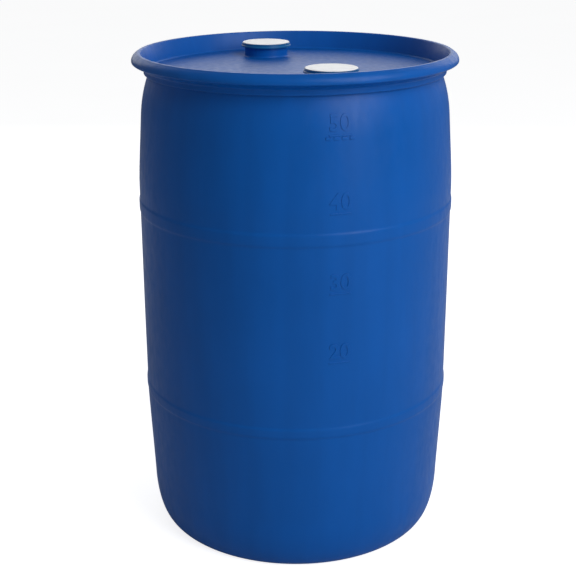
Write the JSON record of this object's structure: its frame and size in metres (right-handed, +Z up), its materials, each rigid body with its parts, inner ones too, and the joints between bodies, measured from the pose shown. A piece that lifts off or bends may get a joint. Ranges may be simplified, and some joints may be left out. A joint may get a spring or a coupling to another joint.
{
  "type": "plastic chemical drum",
  "caption": "Tight-head blow-moulded plastic drum with a raised handling ring, recessed head, threaded necks, screw plugs with gaskets, and pull-off tamper seals.",
  "frame": {"origin": "centre of the base on the floor plane, on the drum's axis", "axes": "+Z up along the drum's axis; the front closure lies towards -Y and a little +X, the rear closure opposite it"},
  "size_m": [0.584, 0.584, 0.899],
  "materials": {
    "body_blue": "satin blow-moulded HDPE, blue",
    "ring_blue": "satin HDPE, blue",
    "insert_blue": "satin moulded HDPE, blue",
    "plug_blue": "satin moulded plastic, blue",
    "gasket_grey": "pale grey elastomer",
    "seal_white": "white polyethylene"
  },
  "bodies": {
    "drum": {"drum_shell": "body_blue", "handling_ring": "ring_blue", "front_neck_insert": "insert_blue", "rear_neck_insert": "insert_blue"},
    "front_gasket_body": {"front_plug_gasket": "gasket_grey"},
    "front_plug_body": {"front_plug": "plug_blue"},
    "front_seal_body": {"front_tamper_seal": "seal_white"},
    "rear_gasket_body": {"rear_plug_gasket": "gasket_grey"},
    "rear_plug_body": {"rear_plug": "plug_blue"},
    "rear_seal_body": {"rear_tamper_seal": "seal_white"}
  },
  "joints": [
    {"name": "front_plug_lift", "type": "slide", "parent": "drum", "child": "front_gasket_body", "axis": [0, 0, 1], "range_m": [0, 0.01441]},
    {"name": "front_plug_turn", "type": "hinge", "parent": "front_gasket_body", "child": "front_plug_body", "pos_m": [0.06067, -0.16611, 0.884], "axis": [0, 0, 1], "range_deg": [0, 1296]},
    {"name": "front_seal_pull", "type": "slide", "parent": "front_plug_body", "child": "front_seal_body", "axis": [0, 0, 1], "range_m": [0, 0.02]},
    {"name": "rear_plug_lift", "type": "slide", "parent": "drum", "child": "rear_gasket_body", "axis": [0, 0, 1], "range_m": [0, 0.01124]},
    {"name": "rear_plug_turn", "type": "hinge", "parent": "rear_gasket_body", "child": "rear_plug_body", "pos_m": [-0.05567, 0.16611, 0.884], "axis": [0, 0, 1], "range_deg": [0, 1830]},
    {"name": "rear_seal_pull", "type": "slide", "parent": "rear_plug_body", "child": "rear_seal_body", "axis": [0, 0, 1], "range_m": [0, 0.02]}
  ],
  "couplings": [
    {"joint": "front_plug_lift", "follows": "front_plug_turn", "m_per_rad": 0.00063662},
    {"joint": "rear_plug_lift", "follows": "rear_plug_turn", "m_per_rad": 0.00035152}
  ]
}
